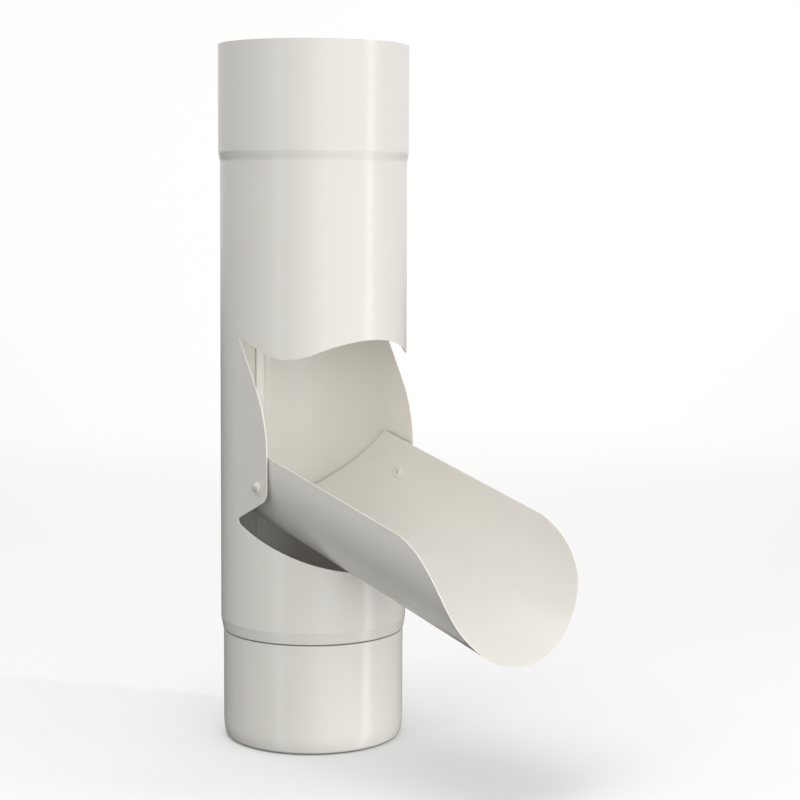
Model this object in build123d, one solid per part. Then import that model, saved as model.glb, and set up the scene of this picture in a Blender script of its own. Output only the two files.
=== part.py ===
from build123d import *
import os
from math import sin, cos, tan, asin, acos, atan, atan2, radians, degrees, sqrt, pi

# Downpipe diverter: a length of round sheet-steel downpipe with a socket above and a
# spigot below, a window cut in its front, and a half-round trough that swings in the window
# on two blind rivets.
# Frame: millimetres, +Z up, the pipe's axis on Z, the lower rim on z = 0,
# and the trough's outlet towards -Y.

# ---------------------------------------------------------------- driving dimensions
SHEET = 0.6                    # sheet thickness

# pipe body
BODY_R = 50.0                  # outer radius, nominal 100 mm downpipe
SOCKET_R = 50.887              # outer radius of the widened socket
TOP_Z = 371.0                  # socket rim
SOCKET_DEPTH = 55.9            # straight part of the socket
STEP_ANGLE = 11.0              # cone of the socket's step
STEP_BEND = 8.0                # bend radius at both ends of the step
SHOULDER_Z = 64.9              # where the body starts to curl in
NECK_R = 47.8                  # outer radius of the neck inside the spigot sleeve
SHOULDER_BEND = 2.0            # bend radius where the shoulder starts
SHOULDER_ANGLE = 9.5           # cone of the shoulder
SHOULDER_CONE = 5.6            # its length
TURN_ANGLE = 70.0              # how far the sheet turns in below the cone
TURN_R1, TURN_R2 = 0.9, 0.6    # outer radii of the turn in and of the turn back down
NECK_LEN = 17.0                # straight neck below the shoulder
NECK_FLARE = 0.213             # the neck's end opens out to bear on the sleeve

# lock seam down the back of the body
SEAM_FROM, SEAM_TO = -2.8, 4.4 # band's two sides, measured along the wall from the back centre
SEAM_THICK = 1.2               # two further layers of sheet on the inside
SEAM_Z0, SEAM_Z1 = 66.0, 308.5
SEAM_LINE = 0.5                # width of the line that the fold leaves outside
SEAM_LINE_DEPTH = 0.25

# window, drawn in side view (y, z) and cut straight through along X
LOW_Z0, LOW_SLOPE = 120.0, 0.492      # lower edge: z = LOW_Z0 + LOW_SLOPE * y
UP_BACK_Z0, UP_BACK_SLOPE = 218.8, 0.47   # upper edge behind the dip
UP_FRONT_Z0, UP_FRONT_SLOPE = 216.9, -0.655   # upper edge at the front, z at y = -BODY_R
UP_DIP_R = 19.5                # rounding of the dip between them
NOTCH_R = 3.5                  # rounding at the lower edge's inner corner

# ears: the flat cheeks left standing beside the window
EAR_Y = -24.8                  # front edge
EAR_TOP_ANGLE = 60.1           # slope of the upper front edge
EAR_TOP_R = 70.0
EAR_LOW_Z0 = 122.4             # lower edge at y = 0, rising forwards
EAR_LOW_SLOPE = -0.492
EAR_LOW_R = 7.0

# spigot sleeve
SLEEVE_R = 48.613              # outer radius
SLEEVE_TOP = 58.1
CURL_R1, CURL_A1 = 24.0, 17.0  # long curl of the lower end
CURL_R2, CURL_A2 = 2.0, 60.0   # tighter lip after it

# trough
TILT = 14.0                    # slope of the open trough below the horizontal, degrees
TROUGH_R = 48.0                # outer radius of the half round
TROUGH_SIDE = 4.8              # straight sides above the half round
PIVOT_Y, PIVOT_Z = -16.8, 140.3
AXIS_RISE = 12.7               # trough's axis above the pivot, square to the trough
END_Z0, END_SLOPE = 158.7, -0.83      # inner end, a straight mitre in side view
TIP_CORNER = 133.7             # outer end: where the slanting cut would meet the top edge
TIP_SLANT = 27.9               # slant of that cut from the square, degrees
TIP_R = 48.0                   # rounding between the top edge and the cut

# pivots
RIVET_R = 2.0                  # shank radius
RIVET_GAP = 0.05               # running clearance in the ear
HEAD_R, HEAD_H, HEAD_EDGE = 4.0, 1.3, 0.35
RECESS_R, RECESS_D = 1.35, 0.45
BULB_R, BULB_H = 3.0, 1.4
MANDREL_R = 1.1
SPACER_R = 4.5
SIDE_GAP = 0.1                 # play between the ear and what turns beside it

OUT = "parts"
os.makedirs(OUT, exist_ok=True)


# ---------------------------------------------------------------- helpers
def wall_ring(r0, z0, steps, t):
    """Revolved sheet wall. Travels down the outer surface from (r0, z0).
    steps: ("line", length) or ("arc", radius, turn) with the turn in degrees,
    positive towards the axis."""
    a = 0.0                                     # heading, 0 = straight down
    outer, inner = [(r0, z0)], [(r0 - t, z0)]
    kinds = []
    for s in steps:
        r, z = outer[-1]
        if s[0] == "line":
            n = (r - s[1] * sin(a), z - s[1] * cos(a))
            mid = None
        else:
            rad, turn = s[1], radians(s[2])
            sg = 1 if turn > 0 else -1
            cx, cz = r - sg * rad * cos(a), z + sg * rad * sin(a)
            def at(b, rr):
                return (cx + sg * rr * cos(b), cz - sg * rr * sin(b))
            n = at(a + turn, rad)
            mid = (at(a + turn / 2, rad), at(a + turn / 2, rad - sg * t))
            a += turn
        outer.append(n)
        inner.append((n[0] - t * cos(a), n[1] + t * sin(a)))
        kinds.append(mid)
    P = lambda q: (q[0], 0, q[1])
    edges = []
    for i, m in enumerate(kinds):
        if m is None:
            edges.append(Edge.make_line(P(outer[i]), P(outer[i + 1])))
            edges.append(Edge.make_line(P(inner[i]), P(inner[i + 1])))
        else:
            edges.append(Edge.make_three_point_arc(P(outer[i]), P(m[0]), P(outer[i + 1])))
            edges.append(Edge.make_three_point_arc(P(inner[i]), P(m[1]), P(inner[i + 1])))
    edges.append(Edge.make_line(P(outer[0]), P(inner[0])))
    edges.append(Edge.make_line(P(outer[-1]), P(inner[-1])))
    face = Face(Wire.combine(edges)[0])
    return revolve(face, Axis.Z, 360), outer, inner


def rounded(points, radii):
    """Closed outline in side view from (y, z) corners, each with its own radius."""
    n = len(points)
    legs = []
    for i in range(n):
        p0, p, p1 = points[i - 1], points[i], points[(i + 1) % n]
        r = radii[i]
        if r == 0:
            legs.append((p, None, p))
            continue
        u = (p0[0] - p[0], p0[1] - p[1]); lu = sqrt(u[0] ** 2 + u[1] ** 2)
        w = (p1[0] - p[0], p1[1] - p[1]); lw = sqrt(w[0] ** 2 + w[1] ** 2)
        u = (u[0] / lu, u[1] / lu); w = (w[0] / lw, w[1] / lw)
        ang = acos(u[0] * w[0] + u[1] * w[1])
        tl = r / tan(ang / 2)
        b = (u[0] + w[0], u[1] + w[1]); lb = sqrt(b[0] ** 2 + b[1] ** 2)
        k = r / sin(ang / 2) - r
        legs.append(((p[0] + u[0] * tl, p[1] + u[1] * tl),
                     (p[0] + b[0] / lb * k, p[1] + b[1] / lb * k),
                     (p[0] + w[0] * tl, p[1] + w[1] * tl)))
    P = lambda q: (0, q[0], q[1])
    edges = []
    for i in range(n):
        a, m, b = legs[i]
        if m is not None:
            edges.append(Edge.make_three_point_arc(P(a), P(m), P(b)))
        c = legs[(i + 1) % n][0]
        if abs(c[0] - b[0]) + abs(c[1] - b[1]) > 1e-6:
            edges.append(Edge.make_line(P(b), P(c)))
    return Face(Wire.combine(edges)[0])


def slab(face, x0, x1):
    """The side-view face, extruded along X from x0 to x1."""
    return extrude(face.moved(Location((x0, 0, 0))), amount=x1 - x0, dir=(1, 0, 0))


# ---------------------------------------------------------------- pipe body
def step_line(drop_r, angle, bend):
    a = radians(angle)
    return (drop_r - 2 * bend * (1 - cos(a))) / sin(a)

step_l = step_line(SOCKET_R - BODY_R, STEP_ANGLE, STEP_BEND)
step_h = 2 * STEP_BEND * sin(radians(STEP_ANGLE)) + step_l * cos(radians(STEP_ANGLE))
body_len = TOP_Z - SOCKET_DEPTH - step_h - SHOULDER_Z
cone_a, turn_a = radians(SHOULDER_ANGLE), radians(TURN_ANGLE)
cone_r = BODY_R - SHOULDER_BEND * (1 - cos(cone_a)) - SHOULDER_CONE * sin(cone_a)
turn_l = (cone_r - NECK_R - TURN_R1 * (cos(cone_a) - cos(turn_a)) - TURN_R2 * (1 - cos(turn_a))) / sin(turn_a)
flare_a = degrees(acos(1 - NECK_FLARE / (2 * 4.0)))

tube, tube_out, tube_in = wall_ring(SOCKET_R, TOP_Z, [
    ("line", SOCKET_DEPTH),
    ("arc", STEP_BEND, STEP_ANGLE), ("line", step_l), ("arc", STEP_BEND, -STEP_ANGLE),
    ("line", body_len),
    ("arc", SHOULDER_BEND, SHOULDER_ANGLE), ("line", SHOULDER_CONE),
    ("arc", TURN_R1, TURN_ANGLE - SHOULDER_ANGLE), ("line", turn_l), ("arc", TURN_R2, -TURN_ANGLE),
    ("line", NECK_LEN),
    ("arc", 4.0, -flare_a), ("arc", 4.0, flare_a),
    ("line", 2.0)], SHEET)

low = lambda y: LOW_Z0 + LOW_SLOPE * y
up_back = lambda y: UP_BACK_Z0 + UP_BACK_SLOPE * y
up_front = lambda y: UP_FRONT_Z0 + UP_FRONT_SLOPE * (y + BODY_R)
dip_y = (UP_FRONT_Z0 + UP_FRONT_SLOPE * BODY_R - UP_BACK_Z0) / (UP_BACK_SLOPE - UP_FRONT_SLOPE)
window = rounded([(0, EAR_LOW_Z0), (0, low(0)), (-60, low(-60)), (-60, up_front(-60)),
                  (dip_y, up_back(dip_y)), (0, up_back(0))],
                 [0, NOTCH_R, 0, 0, UP_DIP_R, 0])
body = tube - slab(window, -60, 60)

ear_top = up_back(0) + EAR_Y * tan(radians(EAR_TOP_ANGLE))
ear_low = EAR_LOW_Z0 + EAR_LOW_SLOPE * EAR_Y
ear = rounded([(0, up_back(0)), (EAR_Y, ear_top), (EAR_Y, ear_low), (0, EAR_LOW_Z0)],
              [0, EAR_TOP_R, EAR_LOW_R, 0])
for x0 in (-BODY_R, BODY_R - SHEET):
    body = body + slab(ear, x0, x0 + SHEET)

# lock seam: a band of folded sheet inside, and the line it leaves outside
def at_back(s, r, base=BODY_R - SHEET):
    a = s / base
    return (r * sin(a), r * cos(a))

r_in = BODY_R - SHEET
def arc_edge(s0, s1, r):
    return Edge.make_three_point_arc(*[(*at_back(s, r), 0) for s in (s0, (s0 + s1) / 2, s1)])
top_to = SEAM_TO - 1.6
band = Face(Wire.combine([
    arc_edge(SEAM_FROM, SEAM_TO, r_in + 0.2),
    arc_edge(SEAM_FROM, top_to, r_in - SEAM_THICK),
    Edge.make_line((*at_back(SEAM_FROM, r_in + 0.2), 0), (*at_back(SEAM_FROM, r_in - SEAM_THICK), 0)),
    Edge.make_line((*at_back(top_to, r_in - SEAM_THICK), 0), (*at_back(SEAM_TO, r_in), 0)),
    Edge.make_line((*at_back(SEAM_TO, r_in), 0), (*at_back(SEAM_TO, r_in + 0.2), 0)),
])[0])
body = body + extrude(band.moved(Location((0, 0, SEAM_Z0))), amount=SEAM_Z1 - SEAM_Z0, dir=(0, 0, 1))
groove = Location((*at_back(SEAM_FROM, BODY_R), (SEAM_Z0 + SEAM_Z1) / 2)) * Rot(0, 0, degrees(-SEAM_FROM / r_in)) \
    * Box(SEAM_LINE, 2 * SEAM_LINE_DEPTH, SEAM_Z1 - SEAM_Z0)
body = body - groove

# holes for the rivets
for x in (-BODY_R + SHEET / 2, BODY_R - SHEET / 2):
    body = body - Location((x, PIVOT_Y, PIVOT_Z)) * Rot(0, 90, 0) * Cylinder(RIVET_R + RIVET_GAP, 4)

# ---------------------------------------------------------------- spigot sleeve
a1, a2 = radians(CURL_A1), radians(CURL_A1 + CURL_A2)
curl_h = CURL_R1 * sin(a1) + CURL_R2 * (sin(a2) - sin(a1))
sleeve, sleeve_out, sleeve_in = wall_ring(SLEEVE_R, SLEEVE_TOP, [
    ("line", SLEEVE_TOP - curl_h),
    ("arc", CURL_R1, CURL_A1), ("arc", CURL_R2, CURL_A2)], SHEET)

# ---------------------------------------------------------------- trough
ta = radians(TILT)
E1 = Vector(0, -cos(ta), -sin(ta))              # along the trough, outwards
E2 = Vector(0, -sin(ta), cos(ta))               # square to it, upwards
PIVOT = Vector(0, PIVOT_Y, PIVOT_Z)
AXIS0 = PIVOT + E2 * AXIS_RISE
trough_plane = Plane(origin=AXIS0, x_dir=(1, 0, 0), z_dir=E1)                  # local y = E2
R, ri = TROUGH_R, TROUGH_R - SHEET
hi = TROUGH_SIDE + 6                            # trimmed by the side-view outline below
section = Face(Wire.combine([
    Edge.make_three_point_arc((-R, 0, 0), (0, -R, 0), (R, 0, 0)),
    Edge.make_line((R, 0, 0), (R, hi, 0)),
    Edge.make_line((R, hi, 0), (ri, hi, 0)),
    Edge.make_line((ri, hi, 0), (ri, 0, 0)),
    Edge.make_three_point_arc((ri, 0, 0), (0, -ri, 0), (-ri, 0, 0)),
    Edge.make_line((-ri, 0, 0), (-ri, hi, 0)),
    Edge.make_line((-ri, hi, 0), (-R, hi, 0)),
    Edge.make_line((-R, hi, 0), (-R, 0, 0)),
])[0])
trough = extrude(section.moved(Location((0, 0, -100))), amount=300, dir=(0, 0, 1))
trough = trough_plane.location * trough

def along(s, v):
    """Side-view point at s along the trough from the pivot and v above its axis."""
    p = PIVOT + E1 * s + E2 * (v + AXIS_RISE)
    return (p.Y, p.Z)

sl = radians(TIP_SLANT)
tip_low = 70.0
top_y, top_z = along(0, TROUGH_SIDE)            # a point on the trough's top edge
mitre_y = (top_z - tan(ta) * top_y - END_Z0) / (END_SLOPE - tan(ta))
keep = rounded([
    (mitre_y, END_Z0 + END_SLOPE * mitre_y),
    along(TIP_CORNER, TROUGH_SIDE),
    along(TIP_CORNER + tip_low * sin(sl), TROUGH_SIDE - tip_low * cos(sl)),
    (80.0, 60.0), (70.0, END_Z0 + END_SLOPE * 70.0)],
    [0, TIP_R, 0, 0, 0])
trough = trough & slab(keep, -60, 60)
for x in (-46, 46):
    trough = trough - Location((x, PIVOT_Y, PIVOT_Z)) * Rot(0, 90, 0) * Cylinder(RIVET_R + RIVET_GAP, 6)

# ---------------------------------------------------------------- rivets and spacers (right side, then mirrored)
x_out = sqrt(R ** 2 - AXIS_RISE ** 2)           # trough's outer face at the pivot
x_in = sqrt(ri ** 2 - AXIS_RISE ** 2)           # and its inner face
outer_rod = trough_plane.location * Cylinder(R, 400)
inner_rod = trough_plane.location * Cylinder(ri, 400)

def along_x(r, x0, x1):
    return Location(((x0 + x1) / 2, PIVOT_Y, PIVOT_Z)) * Rot(0, 90, 0) * Cylinder(r, x1 - x0)

ear_in, ear_out = BODY_R - SHEET, BODY_R
spacer = along_x(SPACER_R, x_out - 4, ear_in - SIDE_GAP) - along_x(RIVET_R, x_out - 6, ear_in + 2)
spacer = spacer - outer_rod

# head: a shallow dome that sits square on the trough's inner face
nrm = (Vector(1, 0, 0) * (-x_in / ri) + E2 * (AXIS_RISE / ri)).normalized()
seat = Vector(x_in, PIVOT_Y, PIVOT_Z)
cap_r = (HEAD_R ** 2 + (HEAD_H - HEAD_EDGE) ** 2) / (2 * (HEAD_H - HEAD_EDGE))
half_a = asin(HEAD_R / cap_r)
zc = HEAD_H - cap_r
dome = Face(Wire.combine([
    Edge.make_line((0, 0, -1.0), (HEAD_R, 0, -1.0)),
    Edge.make_line((HEAD_R, 0, -1.0), (HEAD_R, 0, HEAD_EDGE)),
    Edge.make_three_point_arc((HEAD_R, 0, HEAD_EDGE),
                              (cap_r * sin(half_a / 2), 0, zc + cap_r * cos(half_a / 2)), (0, 0, HEAD_H)),
    Edge.make_line((0, 0, HEAD_H), (0, 0, -1.0)),
])[0])
head_plane = Plane(origin=seat, x_dir=-E1, z_dir=nrm)
head = head_plane.location * revolve(dome, Axis.Z, 360)
head = head & inner_rod
recess = head_plane.location * (Location((0, 0, HEAD_H - RECESS_D + 1.0)) * Cylinder(RECESS_R, 2.0))
head = head - recess

# shank and set tail, one turned shape; local z runs outwards along X
bulb_x = ear_out + SIDE_GAP
def turned(x0, edges):
    f = Face(Wire.combine(edges)[0])
    return Plane(origin=(x0, PIVOT_Y, PIVOT_Z), x_dir=(0, 1, 0), z_dir=(1, 0, 0)).location \
        * revolve(f, Axis.Z, 360)

def path(*pts):
    return [Edge.make_line((a[0], 0, a[1]), (b[0], 0, b[1])) for a, b in zip(pts, pts[1:])]

sh = x_in - 0.9 - bulb_x                        # shank's inner end, seen from the bulb
tail = turned(bulb_x,
    path((BULB_R - 1.3, BULB_H), (0, BULB_H), (0, sh), (RIVET_R, sh), (RIVET_R, 0), (BULB_R - 0.3, 0))
    + [Edge.make_three_point_arc((BULB_R - 0.3, 0, 0), (BULB_R, 0, 0.45), (BULB_R - 0.35, 0, 0.95)),
       Edge.make_three_point_arc((BULB_R - 0.35, 0, 0.95), (BULB_R - 0.75, 0, BULB_H - 0.1),
                                 (BULB_R - 1.3, 0, BULB_H))])
mandrel_end = bulb_x + BULB_H
rivet = tail + head
rivet = rivet - along_x(MANDREL_R, x_in - 4, mandrel_end + 2)

# broken-off mandrel left inside the rivet, with its low head beyond the tail
m0 = x_in - 0.65 - mandrel_end
mandrel = turned(mandrel_end, path((0, m0), (MANDREL_R, m0), (MANDREL_R, 0), (1.6, 0), (1.6, 0.2),
                                   (1.2, 0.5), (0, 0.5), (0, m0)))

# ---------------------------------------------------------------- export
def solid_of(shape):
    s = shape.solids()
    return s[0] if len(s) == 1 else Compound(children=list(s))

nodes = {
    "pipe_body": body,
    "spigot_sleeve": sleeve,
    "flap_trough": trough,
    "rivet_right": rivet,
    "rivet_left": mirror(rivet, about=Plane.YZ),
    "mandrel_right": mandrel,
    "mandrel_left": mirror(mandrel, about=Plane.YZ),
    "spacer_right": spacer,
    "spacer_left": mirror(spacer, about=Plane.YZ),
}
for name, shape in nodes.items():
    export_step(solid_of(shape), f"{OUT}/{name}.step")
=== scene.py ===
import bpy
import bmesh
import numpy as np
from math import sin, cos, tan, asin, acos, atan, atan2, radians, degrees, sqrt, pi
from mathutils import Vector, Matrix
from mathutils.geometry import delaunay_2d_cdt


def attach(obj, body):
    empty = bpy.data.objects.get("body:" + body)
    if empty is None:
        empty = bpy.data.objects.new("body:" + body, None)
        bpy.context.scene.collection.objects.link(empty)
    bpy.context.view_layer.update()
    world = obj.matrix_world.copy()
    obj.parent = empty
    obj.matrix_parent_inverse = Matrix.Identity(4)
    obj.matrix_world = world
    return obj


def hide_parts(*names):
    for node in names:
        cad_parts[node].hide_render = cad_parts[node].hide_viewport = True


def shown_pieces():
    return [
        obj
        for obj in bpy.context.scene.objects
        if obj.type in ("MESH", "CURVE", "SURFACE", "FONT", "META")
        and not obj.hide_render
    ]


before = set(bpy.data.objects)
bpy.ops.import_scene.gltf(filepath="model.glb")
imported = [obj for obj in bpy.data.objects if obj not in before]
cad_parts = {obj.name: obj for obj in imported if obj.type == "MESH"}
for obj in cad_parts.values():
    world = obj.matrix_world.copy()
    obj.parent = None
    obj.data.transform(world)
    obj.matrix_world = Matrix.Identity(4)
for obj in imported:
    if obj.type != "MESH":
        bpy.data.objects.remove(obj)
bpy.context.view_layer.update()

MM = 0.001
T = 0.6                       # sheet
EDGE = 0.14                   # rounding of a cut edge

# =====================================================================================
# mesh tools (all lengths in millimetres until the mesh is made)
# =====================================================================================
def make_object(name, co, nrm, faces, mats, midx=None):
    me = bpy.data.meshes.new(name)
    me.from_pydata([tuple(p * MM) for p in np.asarray(co, float)], [], [tuple(int(i) for i in f) for f in faces])
    for m in mats:
        me.materials.append(m)
    me.polygons.foreach_set("use_smooth", [True] * len(me.polygons))
    if midx is not None:
        me.polygons.foreach_set("material_index", [int(i) for i in midx])
    me.update()
    if nrm is not None:
        me.normals_split_custom_set_from_vertices([tuple(n) for n in np.asarray(nrm, float)])
    o = bpy.data.objects.new(name, me)
    bpy.context.scene.collection.objects.link(o)
    return o


def unit(a):
    return a / np.maximum(np.linalg.norm(a, axis=-1, keepdims=True), 1e-12)


def thicken(name, O, N, faces, mats, t=T, r=EDGE, shade=None):
    """A sheet from its outer surface: points O, unit normals N, faces counter-clockwise seen
    from outside. Every free edge gets a rounded rim r beyond the surface's own border."""
    O, N = np.asarray(O, float), unit(np.asarray(N, float))
    n = len(O)
    he = set()
    for f in faces:
        for a, b in zip(f, list(f[1:]) + [f[0]]):
            he.add((a, b))
    border = [(a, b) for a, b in he if (b, a) not in he]
    border.sort()
    B = np.zeros((n, 3))
    on = np.zeros(n, bool)
    for a, b in border:
        d = unit(O[b] - O[a])
        B[a] += d; B[b] += d
        on[a] = on[b] = True
    ids = np.nonzero(on)[0]
    Tt = unit(np.cross(unit(B[ids]), N[ids]))
    Nb, Ob = N[ids], O[ids]
    co = [O, O - N * t]
    nr = [N if shade is None else unit(shade), -N]
    row = {}
    base = 2 * n
    angs = [30, 60, 90]
    specs = [(sin(radians(a)) * r, -(r - r * cos(radians(a))), sin(radians(a)), cos(radians(a))) for a in angs]
    specs += [(sin(radians(a)) * r, -(t - r + r * cos(radians(a))), sin(radians(a)), -cos(radians(a))) for a in angs[::-1]]
    for k, (ft, fn, nt, nn) in enumerate(specs):
        co.append(Ob + Tt * ft + Nb * fn)
        nr.append(Tt * nt + Nb * nn)
        row[k + 1] = {int(v): base + i for i, v in enumerate(ids)}
        base += len(ids)
    row[0] = {int(v): int(v) for v in ids}
    row[len(specs) + 1] = {int(v): int(v) + n for v in ids}
    out = [list(f) for f in faces] + [[i + n for i in f[::-1]] for f in faces]
    midx = [0] * len(out)
    for a, b in border:
        for k in range(len(specs) + 1):
            r0, r1 = row[k], row[k + 1]
            out.append([r0[b], r0[a], r1[a], r1[b]])
            midx.append(1 if 1 <= k <= len(specs) - 1 and len(mats) > 1 else 0)
    return make_object(name, np.vstack(co), unit(np.vstack(nr)), out, mats, midx)


def dense(pts, step, closed=False):
    out = []
    m = len(pts) if closed else len(pts) - 1
    for i in range(m):
        a, b = np.array(pts[i], float), np.array(pts[(i + 1) % len(pts)], float)
        k = max(1, int(np.ceil(np.linalg.norm(b - a) / step)))
        for j in range(k):
            out.append(tuple(a + (b - a) * j / k))
    if not closed:
        out.append(tuple(pts[-1]))
    return out


def corner(p0, p, p1, r, n=14):
    """Points of the fillet of radius r at corner p."""
    p0, p, p1 = map(lambda q: np.array(q, float), (p0, p, p1))
    u, w = unit(p0 - p), unit(p1 - p)
    ang = acos(float(np.dot(u, w)))
    tl = r / tan(ang / 2)
    c = p + unit(u + w) * (r / sin(ang / 2))
    a, b = p + u * tl - c, p + w * tl - c
    a0, a1 = atan2(a[1], a[0]), atan2(b[1], b[0])
    d = (a1 - a0 + pi) % (2 * pi) - pi
    return [(c[0] + r * cos(a0 + d * i / n), c[1] + r * sin(a0 + d * i / n)) for i in range(n + 1)]


def offset_loop(pts, d):
    """Moves a closed loop sideways by d, to its right-hand side when d > 0."""
    P = np.array(pts, float)
    e = unit(np.roll(P, -1, 0) - P)
    nr = np.c_[e[:, 1], -e[:, 0]]
    m = nr + np.roll(nr, 1, 0)
    l = np.linalg.norm(m, axis=1, keepdims=True)
    m = m / np.maximum(l, 1e-9)
    k = 1 / np.clip((m * nr).sum(1, keepdims=True), 0.35, 1)
    return P + m * k * d


def inside(poly, P):
    poly, P = np.asarray(poly, float), np.atleast_2d(np.asarray(P, float))
    x, y = P[:, 0], P[:, 1]
    c = np.zeros(len(P), bool)
    q = np.roll(poly, 1, 0)
    for (x0, y0), (x1, y1) in zip(poly, q):
        if y0 == y1:
            continue
        hit = ((y0 > y) != (y1 > y)) & (x < (x1 - x0) * (y - y0) / (y1 - y0) + x0)
        c ^= hit
    return c


def far_from(poly, P, d):
    poly, P = np.asarray(poly, float), np.atleast_2d(np.asarray(P, float))
    a, b = poly, np.roll(poly, -1, 0)
    ab = b - a
    ok = np.ones(len(P), bool)
    for i in range(0, len(P), 400):
        Q = P[i:i + 400, None, :] - a[None]
        t = np.clip((Q * ab[None]).sum(2) / np.maximum((ab * ab).sum(1), 1e-12)[None], 0, 1)
        D = Q - t[..., None] * ab[None]
        ok[i:i + 400] = (np.hypot(D[..., 0], D[..., 1]).min(1) > d)
    return ok


def wall_path(r0, z0, steps, da=6.0, dl=4.0):
    """Samples down the outer surface: rows of (length, r, z, heading)."""
    a, L, r, z = 0.0, 0.0, r0, z0
    rows = [(L, r, z, a)]
    for s in steps:
        if s[0] == "line":
            n = max(1, int(np.ceil(s[1] / dl)))
            for i in range(1, n + 1):
                f = s[1] * i / n
                rows.append((L + f, r - f * sin(a), z - f * cos(a), a))
            L += s[1]
        else:
            rad, turn = s[1], radians(s[2])
            sg = 1 if turn > 0 else -1
            cx, cz = r - sg * rad * cos(a), z + sg * rad * sin(a)
            n = max(2, int(np.ceil(abs(s[2]) / da)))
            for i in range(1, n + 1):
                b = a + turn * i / n
                rows.append((L + rad * abs(turn) * i / n, cx + sg * rad * cos(b), cz - sg * rad * sin(b), b))
            a += turn
            L += rad * abs(turn)
        r, z = rows[-1][1], rows[-1][2]
    return np.array(rows)


def lathe(name, prof, mats, n=96, frame_m=None, sharp=40):
    """Turned solid about local Z from a closed profile of (r, z), r >= 0, listed so that the
    material is on the left. Corners sharper than `sharp` degrees get their own normals."""
    P = np.array(prof, float)
    m = len(P)
    co, nr, fc = [], [], []
    for i in range(m - 1):
        a, b = P[i], P[i + 1]
        e = b - a
        if np.hypot(*e) < 1e-9:
            continue
        nn = unit(np.array([e[1], -e[0]]))
        def nat(j, me):
            if j <= 0 or j >= m - 1:
                return me
            e0, e1 = P[j] - P[j - 1], P[j + 1] - P[j]
            n0, n1 = unit(np.array([e0[1], -e0[0]])), unit(np.array([e1[1], -e1[0]]))
            if degrees(acos(float(np.clip(np.dot(n0, n1), -1, 1)))) > sharp:
                return me
            return unit(n0 + n1)
        na, nb = nat(i, nn), nat(i + 1, nn)
        k0 = len(co)
        for q, nq in ((a, na), (b, nb)):
            for j in range(n):
                t = 2 * pi * j / n
                co.append((q[0] * cos(t), q[0] * sin(t), q[1]))
                nr.append((nq[0] * cos(t), nq[0] * sin(t), nq[1]))
        for j in range(n):
            j1 = (j + 1) % n
            q = [k0 + j, k0 + j1, k0 + n + j1, k0 + n + j]
            if a[0] < 1e-9:
                q = [k0 + j, k0 + n + j1, k0 + n + j]
            elif b[0] < 1e-9:
                q = [k0 + j, k0 + j1, k0 + n + j]
            fc.append(q)
    co, nr = np.array(co), np.array(nr)
    if frame_m is not None:
        R, o = frame_m
        co = co @ R.T + o
        nr = nr @ R.T
        if np.linalg.det(R) < 0:
            fc = [f[::-1] for f in fc]
    return make_object(name, co, unit(nr), fc, mats)


# =====================================================================================
# materials
# =====================================================================================
class Nodes:
    def __init__(self, name):
        self.mat = bpy.data.materials.new(name)
        self.mat.use_nodes = True
        self.t = self.mat.node_tree
        self.t.nodes.clear()
        self.out = self.t.nodes.new("ShaderNodeOutputMaterial")

    def new(self, kind, **kw):
        n = self.t.nodes.new(kind)
        for k, v in kw.items():
            if hasattr(n, k) and k not in ("inputs",):
                setattr(n, k, v)
            else:
                n.inputs[k].default_value = v
        return n

    def link(self, a, b):
        self.t.links.new(a, b)


def srgb(r, g, b):
    f = lambda c: (c / 255 / 12.92) if c / 255 <= 0.04045 else ((c / 255 + 0.055) / 1.055) ** 2.4
    return (f(r), f(g), f(b), 1.0)


def coordinates(g, scale):
    tc = g.new("ShaderNodeTexCoord")
    mp = g.new("ShaderNodeMapping")
    mp.inputs["Scale"].default_value = scale
    g.link(tc.outputs["Object"], mp.inputs["Vector"])
    return mp.outputs["Vector"]


def noise(g, scale3, scale, detail=3.0, rough=0.5):
    n = g.new("ShaderNodeTexNoise")
    n.inputs["Scale"].default_value = scale
    n.inputs["Detail"].default_value = detail
    n.inputs["Roughness"].default_value = rough
    g.link(coordinates(g, scale3), n.inputs["Vector"])
    return n.outputs["Fac"]


def remap(g, src, a, b, lo, hi):
    m = g.new("ShaderNodeMapRange")
    m.inputs["From Min"].default_value = a
    m.inputs["From Max"].default_value = b
    m.inputs["To Min"].default_value = lo
    m.inputs["To Max"].default_value = hi
    g.link(src, m.inputs["Value"])
    return m.outputs["Result"]


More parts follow.
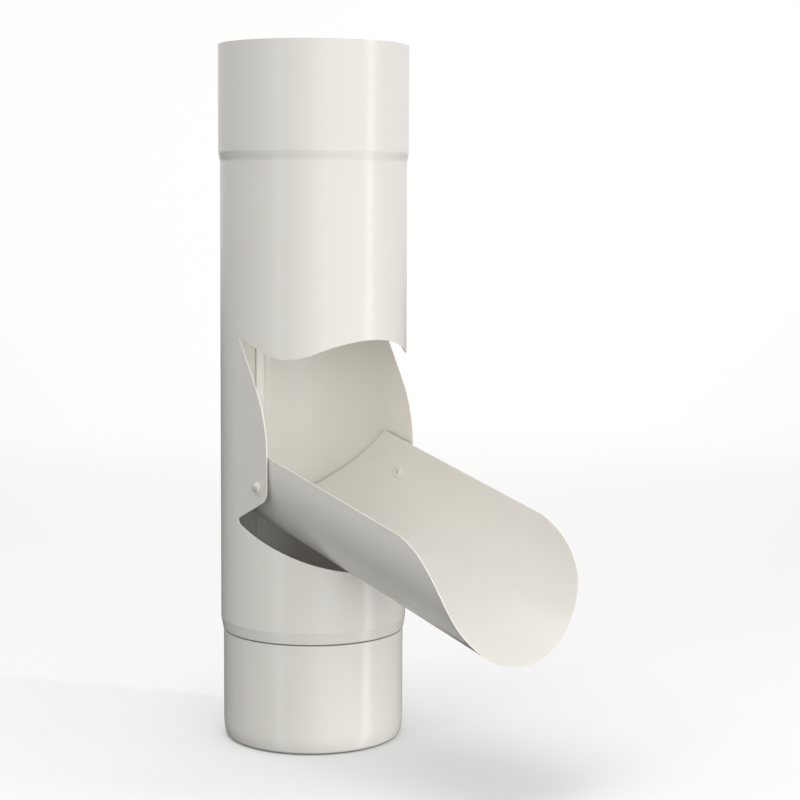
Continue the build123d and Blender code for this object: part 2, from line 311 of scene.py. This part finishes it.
def painted(name, dark, light, rough=(0.34, 0.42), peel=0.02, waves=0.12, metallic=0.0, coat=0.12, spec=0.5,
            painted_crevice_shade=False):
    """Coil-coated sheet: even colour with a slight cloud in it, a fine orange peel, and the
    long shallow waves that rolling leaves along the pipe. The optional flag paints shade into
    the crevice between the shoulder and the sleeve's rim: a near-black colour there stands in for its shadow."""
    g = Nodes(name)
    p = g.new("ShaderNodeBsdfPrincipled")
    cloud = noise(g, (1, 1, 0.45), 14.0, 2.0, 0.5)
    fine = noise(g, (1, 1, 1), 150.0, 2.0, 0.5)
    mixf = g.new("ShaderNodeMath", operation="MULTIPLY_ADD")
    g.link(fine, mixf.inputs[0]); mixf.inputs[1].default_value = 0.15
    g.link(remap(g, cloud, 0.1, 0.9, 0.0, 0.85), mixf.inputs[2])
    col = g.new("ShaderNodeMix", data_type="RGBA")
    col.inputs["A"].default_value = dark
    col.inputs["B"].default_value = light
    g.link(mixf.outputs[0], col.inputs["Factor"])
    base = col.outputs["Result"]
    if painted_crevice_shade:
        # painted shade: the neck inside the crevice under the shoulder is mixed towards near black, standing in for
        # the crevice's shadow
        co = g.new("ShaderNodeTexCoord").outputs["Object"]
        level = g.new("ShaderNodeVectorMath", operation="MULTIPLY")
        level.inputs[1].default_value = (1, 1, 0)
        g.link(co, level.inputs[0])
        dist = g.new("ShaderNodeVectorMath", operation="LENGTH")
        g.link(level.outputs[0], dist.inputs[0])
        xyz = g.new("ShaderNodeSeparateXYZ")
        g.link(co, xyz.inputs[0])
        k = remap(g, dist.outputs["Value"], 0.0484, 0.0489, 0.66, 0.0)
        for part in (remap(g, dist.outputs["Value"], 0.0474, 0.0477, 0.0, 1.0), remap(g, xyz.outputs["Z"], 0.0588, 0.0592, 1.0, 0.0)):
            m = g.new("ShaderNodeMath", operation="MULTIPLY")
            g.link(k, m.inputs[0]); g.link(part, m.inputs[1])
            k = m.outputs[0]
        shade_mix = g.new("ShaderNodeMix", data_type="RGBA")
        g.link(base, shade_mix.inputs["A"])
        shade_mix.inputs["B"].default_value = srgb(62, 60, 56)
        g.link(k, shade_mix.inputs["Factor"])
        base = shade_mix.outputs["Result"]
    g.link(base, p.inputs["Base Color"])
    g.link(remap(g, noise(g, (1, 1, 0.6), 30.0, 2.0, 0.5), 0.1, 0.9, rough[0], rough[1]), p.inputs["Roughness"])
    p.inputs["Metallic"].default_value = metallic
    p.inputs["Specular IOR Level"].default_value = spec
    p.inputs["Coat Weight"].default_value = coat
    p.inputs["Coat Roughness"].default_value = 0.22
    b1 = g.new("ShaderNodeBump")
    b1.inputs["Strength"].default_value = peel
    b1.inputs["Distance"].default_value = 0.0002
    g.link(noise(g, (1, 1, 1), 350.0, 1.0, 0.5), b1.inputs["Height"])
    b2 = g.new("ShaderNodeBump")
    b2.inputs["Strength"].default_value = waves
    b2.inputs["Distance"].default_value = 0.0006
    g.link(noise(g, (1, 1, 0.10), 55.0, 1.0, 0.4), b2.inputs["Height"])
    g.link(b1.outputs["Normal"], b2.inputs["Normal"])
    g.link(b2.outputs["Normal"], p.inputs["Normal"])
    g.link(p.outputs["BSDF"], g.out.inputs["Surface"])
    return g.mat


PAINT = painted("paint_sheet", srgb(230, 227, 220), srgb(233, 230, 224), (0.27, 0.32))
# the body's paint carries the painted shade in the crevice above the sleeve's rim
PAINT_BODY = painted("paint_body", srgb(230, 227, 220), srgb(233, 230, 224), (0.27, 0.32), painted_crevice_shade=True)
# cut edges get a paler paint than the sheet: a painted highlight for the light that the thin rims catch
CUT_EDGE_HIGHLIGHT = painted("cut_edge_painted_highlight", srgb(238, 236, 231), srgb(244, 242, 238), (0.28, 0.36))
RIVET = painted("paint_rivet", srgb(226, 223, 216), srgb(236, 233, 227), (0.26, 0.34), 0.06, 0.0, 0.0, 0.2)
MANDREL = painted("paint_mandrel", srgb(188, 186, 180), srgb(210, 208, 201), (0.34, 0.46), 0.12, 0.0, 0.0, 0.1)
SPACER = painted("spacer_plastic", srgb(150, 148, 143), srgb(162, 160, 155), (0.5, 0.6), 0.08, 0.0)

# =====================================================================================
# pipe body
# =====================================================================================
BODY_R, SOCKET_R, TOP_Z, SOCKET_DEPTH = 50.0, 50.887, 371.0, 55.9
SHOULDER_Z, NECK_R = 64.9, 47.8

sa = radians(11.0)
step_l = (SOCKET_R - BODY_R - 16.0 * (1 - cos(sa))) / sin(sa)
step_h = 16.0 * sin(sa) + step_l * cos(sa)
body_len = TOP_Z - SOCKET_DEPTH - step_h - SHOULDER_Z
ca, tu = radians(9.5), radians(70.0)
cone_r = BODY_R - 2.0 * (1 - cos(ca)) - 5.6 * sin(ca)
turn_l = (cone_r - NECK_R - 0.9 * (cos(ca) - cos(tu)) - 0.6 * (1 - cos(tu))) / sin(tu)
fl_a = degrees(acos(1 - 0.213 / 8.0))
steps = [("line", SOCKET_DEPTH - EDGE), ("arc", 8.0, 11.0), ("line", step_l), ("arc", 8.0, -11.0),
         ("line", body_len), ("arc", 2.0, 9.5), ("line", 5.6), ("arc", 0.9, 60.5), ("line", turn_l), ("arc", 0.6, -70.0),
         ("line", 17.0), ("arc", 4.0, -fl_a), ("arc", 4.0, fl_a), ("line", 2.0)]
rows = wall_path(SOCKET_R, TOP_Z - EDGE, steps, 3.0, 4.0)
on_tube = np.nonzero((np.abs(rows[:, 1] - BODY_R) < 1e-6) & (np.abs(rows[:, 3]) < 1e-9))[0]
q_of = rows[on_tube[0], 2] + rows[on_tube[0], 0] - rows[:, 0]      # equals z along the straight tube
rows, q_of = rows[::-1], q_of[::-1]                                # now upwards
NC = 192
ds = 2 * pi * BODY_R / NC

EAR_Y = -24.8
low = lambda y: 120.0 + 0.492 * y
up_back = lambda y: 218.8 + 0.47 * y
up_front = lambda y: 216.9 - 0.655 * (y + 50.0)
dip_y = (216.9 - 0.655 * 50.0 - 218.8) / (0.47 + 0.655)
upper = dense([(0.0, up_back(0.0))] + corner((0, up_back(0)), (dip_y, up_back(dip_y)), (-60, up_front(-60)), 19.5, 24)
              + [(-60.0, up_front(-60.0))], 0.5)
lower = dense([(0.0, 122.4)] + corner((0, 122.4), (0, low(0)), (-60, low(-60)), 3.5, 14) + [(-60.0, low(-60.0))], 0.4)
e_top, e_low = up_back(0) + EAR_Y * tan(radians(60.1)), 122.4 - 0.492 * EAR_Y
ear = [(0.0, up_back(0))] + corner((0, up_back(0)), (EAR_Y, e_top), (EAR_Y, e_low), 70.0, 40) \
    + corner((EAR_Y, e_top), (EAR_Y, e_low), (0, 122.4), 7.0, 14) + [(0.0, 122.4)]
ear = dense(ear, 1.2)

QUARTER = BODY_R * pi / 2
def on_curve(line):
    """Side-view line (y, z) to the unrolled sheet, for what is cut in the round part."""
    a = np.array(line, float)
    z_at = lambda y: float(np.interp(-y, -a[:, 0], a[:, 1]))
    pts = []
    for y, z in a:
        if y < -BODY_R * cos(radians(20)) + 1e-9:
            break
        pts.append((acos(max(-1.0, min(1.0, -y / BODY_R))) * BODY_R, z))
    b0 = pts[-1][0] / BODY_R
    n = int(b0 * BODY_R / 0.7)
    for i in range(1, n + 1):
        b = b0 * (1 - i / n)
        pts.append((b * BODY_R, z_at(-BODY_R * cos(b))))
    return pts

up_s = on_curve(upper)                      # from the side (0 mm off the quarter) to the front centre
lo_s = on_curve(lower)
ear_s = [(QUARTER + y, z) for y, z in ear]
half = [(s, z, 0) for s, z in up_s[::-1][:-1]] + [(s, z, 1) for s, z in ear_s[:-1]] + [(s, z, 0) for s, z in lo_s]
# right half from the top centre down to the bottom centre, then the left half back up
hole = half + [(-s, z, k) for s, z, k in half[::-1][1:-1]]
H2 = np.array([(s, z) for s, z, k in hole])
HK = np.array([k for s, z, k in hole])
area = 0.5 * np.sum(H2[:, 0] * np.roll(H2[:, 1], -1) - np.roll(H2[:, 0], -1) * H2[:, 1])
H2 = offset_loop(H2, EDGE if area > 0 else -EDGE)                 # away from the opening, into the sheet
EAR_POLY = np.array(ear_s)

PIV = (-16.8, 140.3)
def ring_hole(sg):
    c = (sg * (QUARTER + PIV[0]), PIV[1])
    return np.array([(c[0] + (2.05 + EDGE) * cos(t), c[1] + (2.05 + EDGE) * sin(t))
                     for t in np.linspace(0, 2 * pi, 40, endpoint=False)])
RH = [ring_hole(1), ring_hole(-1)]

V2, KIND = [], []                                                  # unrolled (s, q) and 1 = on an ear
grid = {}
def gv(i, j):
    key = (i % NC, j)
    if key not in grid:
        grid[key] = len(V2)
        s = (i % NC - NC // 2) * ds
        V2.append((s, q_of[j])); KIND.append(0)
    return grid[key]

# the fine line that the lock seam's fold leaves outside
GROOVE_S = -QUARTER * 2 + 2.8
GROOVE = [(-0.36, 0.0, 0.3), (-0.20, 0.22, 0.8), (0.20, 0.22, -0.8), (0.36, 0.0, -0.3)]     # across, depth, lean
groove_at = {}
def groove_row(j):
    row = []
    for k, (ds_, depth, lean) in enumerate(GROOVE):
        if ("g", k, j) not in grid:
            grid[("g", k, j)] = len(V2)
            groove_at[len(V2)] = k
            V2.append((GROOVE_S + ds_, q_of[j])); KIND.append(0)
        row.append(grid[("g", k, j)])
    return row

M = len(q_of)
j0 = int(np.searchsorted(q_of, 88.0)); j1 = int(np.searchsorted(q_of, 226.0))
i0 = NC // 2 - int(84 / ds) - 1; i1 = NC // 2 + int(84 / ds) + 1
faces = []
for j in range(M - 1):
    for i in range(NC):
        if j0 <= j < j1 and i0 <= i < i1:
            continue
        if i == 1:
            lo_ = [gv(i, j)] + groove_row(j) + [gv(i + 1, j)]
            hi_ = [gv(i, j + 1)] + groove_row(j + 1) + [gv(i + 1, j + 1)]
            faces += [[lo_[k], lo_[k + 1], hi_[k + 1], hi_[k]] for k in range(len(lo_) - 1)]
            continue
        faces.append([gv(i, j), gv(i + 1, j), gv(i + 1, j + 1), gv(i, j + 1)])
# the window's neighbourhood
pts, gid, kinds = [], [], []
cand = [(i, j) for i in range(i0, i1 + 1) for j in range(j0, j1 + 1)]
C2 = np.array([((i - NC // 2) * ds, q_of[j]) for i, j in cand])
rim = np.array([i in (i0, i1) or j in (j0, j1) for i, j in cand])
ok = rim | (~inside(H2, C2) & far_from(H2, C2, 0.75))
for rh in RH:
    ok &= rim | (~inside(rh, C2) & far_from(rh, C2, 0.6))
C2k = C2[ok]
ear_right = inside(EAR_POLY, C2k) & (C2k[:, 0] < QUARTER - 1e-6)
ear_left = inside(EAR_POLY, C2k * [-1, 1]) & (C2k[:, 0] > -QUARTER + 1e-6)
for (i, j), k in zip([c for c, o in zip(cand, ok) if o], ear_right | ear_left):
    g = gv(i, j)
    KIND[g] = int(k)
    pts.append(V2[g]); gid.append(g)
edges = []
def add_loop(loop, kk):
    b = len(pts)
    for (s, z), k in zip(loop, kk):
        gid.append(len(V2)); V2.append((float(s), float(z))); KIND.append(int(k)); pts.append((float(s), float(z)))
    n = len(loop)
    edges.extend([(b + i, b + (i + 1) % n) for i in range(n)])
add_loop(H2, HK)
for rh in RH:
    add_loop(rh, [1] * len(rh))
res = delaunay_2d_cdt([Vector(p) for p in pts], edges, [], 0, 1e-6)
back = [o[0] if len(o) else None for o in res[3]]
outv = [tuple(v) for v in res[0]]
mids = np.array([np.mean([outv[v] for v in f], axis=0) for f in res[2]])
drop = inside(H2, mids) | inside(RH[0], mids) | inside(RH[1], mids)
for f, gone in zip(res[2], drop):
    if gone or any(back[v] is None for v in f):
        continue
    p = [outv[v] for v in f]
    a = sum(p[k][0] * p[(k + 1) % len(p)][1] - p[(k + 1) % len(p)][0] * p[k][1] for k in range(len(p)))
    if abs(a) < 1e-7:
        continue
    f = [gid[back[v]] for v in f]
    faces.append(f if a > 0 else f[::-1])

V2 = np.array(V2); KIND = np.array(KIND)
b = V2[:, 0] / BODY_R
rr = np.interp(V2[:, 1], q_of, rows[:, 1]); zz = np.interp(V2[:, 1], q_of, rows[:, 2])
aa = np.interp(V2[:, 1], q_of, rows[:, 3])
O = np.c_[rr * np.sin(b), -rr * np.cos(b), zz]
N = np.c_[np.cos(aa) * np.sin(b), -np.cos(aa) * np.cos(b), -np.sin(aa)]
e = KIND == 1
sg = np.sign(V2[:, 0])
O[e] = np.c_[sg[e] * BODY_R, -(QUARTER - np.abs(V2[e, 0])), V2[e, 1]]
N[e] = np.c_[sg[e], np.zeros(e.sum()), np.zeros(e.sum())]
NS_ = N.copy()
for v, k in groove_at.items():
    if 66.0 <= zz[v] <= 308.5:
        side_ = np.array([np.cos(b[v]), np.sin(b[v]), 0.0])
        O[v] -= N[v] * GROOVE[k][1]
        NS_[v] = N[v] + side_ * GROOVE[k][2]
used = sorted({v for f in faces for v in f})
ren = {v: i for i, v in enumerate(used)}
faces = [[ren[v] for v in f] for f in faces]
body = thicken("body_sheet", O[used], N[used], faces, [PAINT_BODY, CUT_EDGE_HIGHLIGHT], shade=NS_[used])
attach(body, "housing")
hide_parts("pipe_body")

# lock seam down the back, inside: a folded band with a dark gap under its free edge
r_in = BODY_R - T
prof = [(-2.05, 0.15), (-2.05, -0.28), (-2.40, -0.30)] \
    + [(-2.40 - 0.42 * sin(t), -0.72 + 0.42 * cos(t)) for t in np.linspace(0, pi, 9)][1:] \
    + [(-1.2, -1.17), (0.4, -1.19), (2.0, -1.19), (2.5, -1.15), (2.95, -1.02), (3.35, -0.80), (3.7, -0.50),
       (4.0, -0.26), (4.35, -0.08), (4.8, 0.03), (4.8, 0.15)]
prof = np.array(prof)
zs = np.array([66.0, 66.25] + list(np.linspace(70, 305, 60)) + [308.1, 308.4])
co, fc = [], []
for k, z in enumerate(zs):
    sink = 0.25 if k in (0, len(zs) - 1) else 0.0
    for s, d in prof:
        a_ = s / r_in
        r_ = r_in + d + (sink if d < 0 else 0.0)
        co.append((r_ * sin(a_), r_ * cos(a_), z))
m = len(prof)
for k in range(len(zs) - 1):
    for i in range(m - 1):
        fc.append([k * m + i, k * m + i + 1, (k + 1) * m + i + 1, (k + 1) * m + i])
fc.append(list(range(m))[::-1])
fc.append([(len(zs) - 1) * m + i for i in range(m)])
seam = make_object("lock_seam", co, None, fc, [PAINT])
bm_fix = bmesh.new()
bm_fix.from_mesh(seam.data)
bmesh.ops.recalc_face_normals(bm_fix, faces=bm_fix.faces)
bm_fix.to_mesh(seam.data)
bm_fix.free()
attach(seam, "housing")

# =====================================================================================
# spigot sleeve
# =====================================================================================
a1, a2 = radians(17.0), radians(77.0)
curl_h = 24.0 * sin(a1) + 2.0 * (sin(a2) - sin(a1))
RIM_Z = 57.75                                # a hair low, so the crevice under the shoulder stays dark
srow = wall_path(48.613, RIM_Z - EDGE, [("line", RIM_Z - curl_h - EDGE), ("arc", 24.0, 17.0), ("arc", 2.0, 60.0)], 3.0, 4.0)[::-1]
O, N, faces = [], [], []
for L_, r_, z_, h_ in srow:
    for i in range(NC):
        t_ = 2 * pi * i / NC
        O.append((r_ * sin(t_), -r_ * cos(t_), z_))
        N.append((cos(h_) * sin(t_), -cos(h_) * cos(t_), -sin(h_)))
for j in range(len(srow) - 1):
    for i in range(NC):
        faces.append([j * NC + i, j * NC + (i + 1) % NC, (j + 1) * NC + (i + 1) % NC, (j + 1) * NC + i])
sleeve = thicken("sleeve_sheet", O, N, faces, [PAINT, CUT_EDGE_HIGHLIGHT])
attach(sleeve, "housing")
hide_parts("spigot_sleeve")

# =====================================================================================
# trough
# =====================================================================================
ta = radians(14.0)
E1 = np.array([0, -cos(ta), -sin(ta)])
E2 = np.array([0, -sin(ta), cos(ta)])
PV = np.array([0, PIV[0], PIV[1]])
AX = PV + E2 * 12.7
TR, SIDE, TIP_C, SLANT, TIP_R = 48.0, 4.8, 133.7, radians(27.9), 48.0

def s_inner(v):
    B = AX + E2 * v
    return (158.7 - 0.83 * B[1] - B[2]) / (E1[2] + 0.83 * E1[1])

tip = corner((0, SIDE), (TIP_C, SIDE), (TIP_C + 70 * sin(SLANT), SIDE - 70 * cos(SLANT)), TIP_R, 80)
tipA = np.array(tip)
def s_outer(v):
    if v >= tipA[-1, 1]:
        c = (tipA[0, 0], SIDE - TIP_R)
        return c[0] + sqrt(max(0.0, TIP_R ** 2 - (v - c[1]) ** 2))
    return tipA[-1, 0] + (tipA[-1, 1] - v) * tan(SLANT)

QT = TR * pi / 2
def across(u):
    if abs(u) <= QT:
        f = u / TR
        return TR * sin(f), -TR * cos(f), sin(f), -cos(f)
    g = 1.0 if u > 0 else -1.0
    return g * TR, abs(u) - QT, g, 0.0

u_end = QT + SIDE - EDGE
us = [0.0]
while us[-1] < u_end - 1e-9:
    left = u_end - us[-1]
    us.append(min(u_end, us[-1] + max(0.12, min(1.5, left * 0.16))))
us = np.array([-u for u in us[:0:-1]] + us)
NU, NS = len(us), 90
O, N, faces = [], [], []
for j in range(NS + 1):
    for u in us:
        x, v, nx, nv = across(u)
        si, so = s_inner(v) + EDGE, s_outer(v) - EDGE
        f = j / NS
        s_ = si + (so - si) * f
        O.append(AX + E1 * s_ + E2 * v + np.array([x, 0, 0]))
        N.append(np.array([nx, 0, 0]) + E2 * nv)
for j in range(NS):
    for i in range(NU - 1):
        faces.append([j * NU + i, j * NU + i + 1, (j + 1) * NU + i + 1, (j + 1) * NU + i])
# orientation: make the faces look outwards
a_, b_, c_ = (np.array(O[k]) for k in faces[NU * 5][:3])
if np.dot(np.cross(b_ - a_, c_ - b_), N[faces[NU * 5][0]]) < 0:
    faces = [f[::-1] for f in faces]
trough = thicken("trough_sheet", O, N, faces, [PAINT, CUT_EDGE_HIGHLIGHT])
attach(trough, "flap")
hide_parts("flap_trough")

# =====================================================================================
# rivets, mandrels, spacers
# =====================================================================================
ri = TR - T
x_out, x_in = sqrt(TR ** 2 - 12.7 ** 2), sqrt(ri ** 2 - 12.7 ** 2)
HR, HH, HE = 4.0, 1.3, 0.35
cap = (HR ** 2 + (HH - HE) ** 2) / (2 * (HH - HE))
ha = asin(HR / cap)
bulb_x = BODY_R + 0.1
for side, tag in ((1, "right"), (-1, "left")):
    mir = np.array([side, 1, 1.0])
    nrm = unit(np.array([-x_in / ri, 0, 0]) + E2 * (12.7 / ri)) * mir
    seat = np.array([x_in, PIV[0], PIV[1]]) * mir
    zx = unit(nrm)
    xx = -E1
    yy = np.cross(zx, xx)
    R = np.array([xx, yy, zx]).T
    hr = HR - 0.12
    head = [(0.0, -0.3), (hr, -0.3), (HR, -0.1), (HR, HE - 0.12)]
    head += [(HR - 0.05, HE - 0.03)]
    head += [(cap * sin(a), HH - cap + cap * cos(a)) for a in np.linspace(ha * 0.97, asin(1.62 / cap), 14)]
    z_r = HH - cap + sqrt(cap ** 2 - 1.62 ** 2)
    head += [(1.52, z_r - 0.03), (1.42, z_r - 0.12), (1.36, z_r - 0.30), (1.30, z_r - 0.46), (1.12, z_r - 0.50), (0.0, z_r - 0.50)]
    h = lathe("rivet_head_" + tag, head, [RIVET], 96, (R, seat), 50)
    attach(h, "flap")
    # mandrel's broken face in the head
    mp_ = [(0.0, z_r - 0.55), (1.12, z_r - 0.55), (1.12, z_r - 0.40), (1.05, z_r - 0.33), (0.8, z_r - 0.27), (0.45, z_r - 0.20), (0.0, z_r - 0.24)]
    mh = lathe("mandrel_face_" + tag, mp_, [MANDREL], 48, (R, seat), 50)
    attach(mh, "flap")
    # shank and set tail, along X
    RX = np.array([[0.0, 0.0, side], [0.0, 1.0, 0.0], [1.0, 0.0, 0.0]])
    tail = [(0.0, -5.0), (2.0, -5.0), (2.0, 0.0), (2.55, 0.0), (2.78, 0.04), (2.94, 0.18), (3.0, 0.42), (2.95, 0.68), (2.82, 0.88),
            (2.6, 1.02), (2.35, 1.14), (2.05, 1.28), (1.75, 1.36), (1.45, 1.38), (1.25, 1.34), (1.15, 1.26), (1.12, 1.15), (0.0, 1.15)]
    tl = lathe("rivet_tail_" + tag, tail, [RIVET], 96, (RX, np.array([side * bulb_x, PIV[0], PIV[1]])), 60)
    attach(tl, "flap")
    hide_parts("rivet_" + tag)
    mt = [(0.0, 1.0), (1.1, 1.0), (1.1, 1.38), (1.5, 1.42), (1.58, 1.5), (1.58, 1.62), (1.45, 1.76), (1.15, 1.88), (0.7, 1.96), (0.0, 1.98)]
    mo = lathe("mandrel_end_" + tag, mt, [MANDREL], 64, (RX, np.array([side * bulb_x, PIV[0], PIV[1]])), 50)
    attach(mo, "flap")
    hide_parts("mandrel_" + tag)

for tag in ("right", "left"):
    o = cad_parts["spacer_" + tag]
    o.data.materials.clear()
    o.data.materials.append(SPACER)

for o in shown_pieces():
    assert o.data.materials, o.name

# =====================================================================================
# floor, light, camera
# =====================================================================================
PH = radians(37.93)
FORE = (sin(PH), cos(PH))                    # away from the camera, level
SIDE_R = (cos(PH), -sin(PH))                 # to the camera's right, level


GLOW = {"even": 0.59, "behind": 0.41, "right": 0.12, "left": 0.0, "front": 0.02, "above": 0.0, "below": 0.03}


def studio_glow(t, vec, split):
    """Brightness of the surroundings in a direction: palest behind the object, dull below."""
    def lobe(v, amount, sharp):
        d = t.nodes.new("ShaderNodeVectorMath"); d.operation = "DOT_PRODUCT"
        d.inputs[1].default_value = v
        t.links.new(vec, d.inputs[0])
        m = t.nodes.new("ShaderNodeMath"); m.operation = "MAXIMUM"; m.inputs[1].default_value = 0.0
        t.links.new(d.outputs["Value"], m.inputs[0])
        w = t.nodes.new("ShaderNodeMath"); w.operation = "POWER"; w.inputs[1].default_value = sharp
        t.links.new(m.outputs[0], w.inputs[0])
        k = t.nodes.new("ShaderNodeMath"); k.operation = "MULTIPLY"; k.inputs[1].default_value = amount
        t.links.new(w.outputs[0], k.inputs[0])
        return k.outputs[0]
    total = t.nodes.new("ShaderNodeValue")
    total.outputs[0].default_value = GLOW["even"]
    total = total.outputs[0]
    for v, key in (((*FORE, 0.0), "behind"), ((*SIDE_R, 0.0), "right"), ((-SIDE_R[0], -SIDE_R[1], 0.0), "left"),
                   ((-FORE[0], -FORE[1], 0.0), "front"), ((0.0, 0.0, 1.0), "above")):
        m = t.nodes.new("ShaderNodeMath"); m.operation = "ADD"
        t.links.new(total, m.inputs[0]); t.links.new(lobe(v, GLOW[key], 2.0 if key == "behind" else 1.0), m.inputs[1])
        total = m.outputs[0]
    if not split:
        return total
    xyz = t.nodes.new("ShaderNodeSeparateXYZ")
    t.links.new(vec, xyz.inputs[0])
    r = t.nodes.new("ShaderNodeMapRange")
    r.inputs["From Min"].default_value = -0.08
    r.inputs["From Max"].default_value = -0.02
    t.links.new(xyz.outputs["Z"], r.inputs["Value"])
    m = t.nodes.new("ShaderNodeMix"); m.data_type = "FLOAT"
    m.inputs["A"].default_value = GLOW["below"]
    t.links.new(r.outputs["Result"], m.inputs["Factor"]); t.links.new(total, m.inputs["B"])
    return m.outputs[0]


world = bpy.data.worlds.new("studio")
bpy.context.scene.world = world
world.use_nodes = True
wt = world.node_tree
tc = wt.nodes.new("ShaderNodeTexCoord")
bg = wt.nodes["Background"]
bg.inputs["Color"].default_value = (1.0, 0.998, 0.99, 1.0)
wt.links.new(studio_glow(wt, tc.outputs["Generated"], True), bg.inputs["Strength"])

g = Nodes("floor_white")
p = g.new("ShaderNodeBsdfPrincipled")
col = g.new("ShaderNodeMix", data_type="RGBA")
col.inputs["A"].default_value = srgb(248, 248, 249)
col.inputs["B"].default_value = srgb(251, 251, 252)
g.link(noise(g, (1, 1, 1), 3.0, 2.0, 0.5), col.inputs["Factor"])
g.link(col.outputs["Result"], p.inputs["Base Color"])
p.inputs["Roughness"].default_value = 0.9
p.inputs["Specular IOR Level"].default_value = 0.1
tc = g.new("ShaderNodeTexCoord")
flat = g.new("ShaderNodeVectorMath", operation="MULTIPLY")
flat.inputs[1].default_value = (1, 1, 0)
g.link(tc.outputs["Object"], flat.inputs[0])
ln = g.new("ShaderNodeVectorMath", operation="LENGTH")
g.link(flat.outputs[0], ln.inputs[0])
nrm_ = g.new("ShaderNodeVectorMath", operation="NORMALIZE")
g.link(flat.outputs[0], nrm_.inputs[0])
em = g.new("ShaderNodeEmission")
em.inputs["Color"].default_value = (1.0, 0.998, 0.99, 1.0)
g.link(studio_glow(g.t, nrm_.outputs[0], False), em.inputs["Strength"])
fade = g.new("ShaderNodeMapRange", interpolation_type="SMOOTHSTEP")
fade.inputs["From Min"].default_value = 0.2
fade.inputs["From Max"].default_value = 1.5
g.link(ln.outputs["Value"], fade.inputs["Value"])
mx = g.new("ShaderNodeMixShader")
g.link(fade.outputs["Result"], mx.inputs[0])
g.link(p.outputs["BSDF"], mx.inputs[1])
g.link(em.outputs[0], mx.inputs[2])
g.link(mx.outputs[0], g.out.inputs["Surface"])
bpy.ops.mesh.primitive_plane_add(size=300.0, location=(0, 0, -0.0006))
floor = bpy.context.object
floor.name = "floor"
floor.data.materials.append(g.mat)
floor.visible_diffuse = False                # the floor only catches the shadow: the surroundings light the object
floor.visible_glossy = False
floor.visible_shadow = False

def around(psi, dist, z):
    """A place psi degrees to the camera's right, seen from the object."""
    q = radians(psi)
    d = cos(q) * np.array([-sin(PH), -cos(PH)]) + sin(q) * np.array([cos(PH), -sin(PH)])
    return Vector((d[0] * dist, d[1] * dist, z))

def soft(name, loc, target, sx, sy, power, colour=(1, 1, 1)):
    li = bpy.data.lights.new(name, "AREA")
    li.shape = "RECTANGLE"
    li.size, li.size_y = sx, sy
    li.energy = power
    li.color = colour
    o = bpy.data.objects.new(name, li)
    bpy.context.scene.collection.objects.link(o)
    o.location = loc
    o.rotation_euler = (Vector(target) - loc).to_track_quat("-Z", "Y").to_euler()
    o.visible_camera = False
    return o

mid = (0, -0.03, 0.19)

def at(psi, rise, dist):
    """A place psi degrees right and rise degrees up from the object, seen from it."""
    return around(psi, dist * cos(radians(rise)), mid[2] + dist * sin(radians(rise)))

soft("key", at(30, 0, 3.0), mid, 3.0, 2.4, 23.0)
soft("front", at(-2, 5, 3.0), mid, 3.0, 2.4, 14.0)
soft("bounce", at(25, -30, 2.6), mid, 2.2, 1.6, 6.0)
soft("strip_right", at(70.5, -3, 1.8), mid, 0.16, 3.4, 15.0)
soft("strip_left", at(-43, -3, 1.8), mid, 0.11, 3.4, 6.0)
soft("top", around(-80, 0.35, 2.2), mid, 1.2, 1.2, 13.0)

cam_d = bpy.data.cameras.new("camera")
cam = bpy.data.objects.new("camera", cam_d)
bpy.context.scene.collection.objects.link(cam)
bpy.context.scene.camera = cam
F_PX, DIST, ZC, PITCH, YAW, ROLL, SHIFT = 1900.0, 1021.7, 290.9, radians(4.78), radians(2.612), radians(0.258), -0.055
fwd = np.array([sin(YAW), cos(YAW), 0.0]); right = np.array([cos(YAW), -sin(YAW), 0.0]); up = np.array([0, 0, 1.0])
f2 = fwd * cos(PITCH) - up * sin(PITCH); u2 = up * cos(PITCH) + fwd * sin(PITCH)
r3 = right * cos(ROLL) + u2 * sin(ROLL); u3 = u2 * cos(ROLL) - right * sin(ROLL)
Rz = np.array([[cos(PH), sin(PH), 0], [-sin(PH), cos(PH), 0], [0, 0, 1]])       # back to the object's frame
r3, u3, f2 = Rz @ r3, Rz @ u3, Rz @ f2
loc = Rz @ np.array([0, -DIST, ZC]) * MM
m4 = Matrix(((r3[0], u3[0], -f2[0], loc[0]), (r3[1], u3[1], -f2[1], loc[1]), (r3[2], u3[2], -f2[2], loc[2]), (0, 0, 0, 1)))
cam.matrix_world = m4
cam_d.sensor_width = 36.0
cam_d.lens = F_PX / 800.0 * 36.0
cam_d.shift_y = SHIFT
cam_d.clip_start, cam_d.clip_end = 0.01, 400.0

sc = bpy.context.scene
sc.view_settings.view_transform = "Standard"
sc.view_settings.look = "None"
sc.view_settings.exposure = 0.0
sc.view_settings.gamma = 1.0
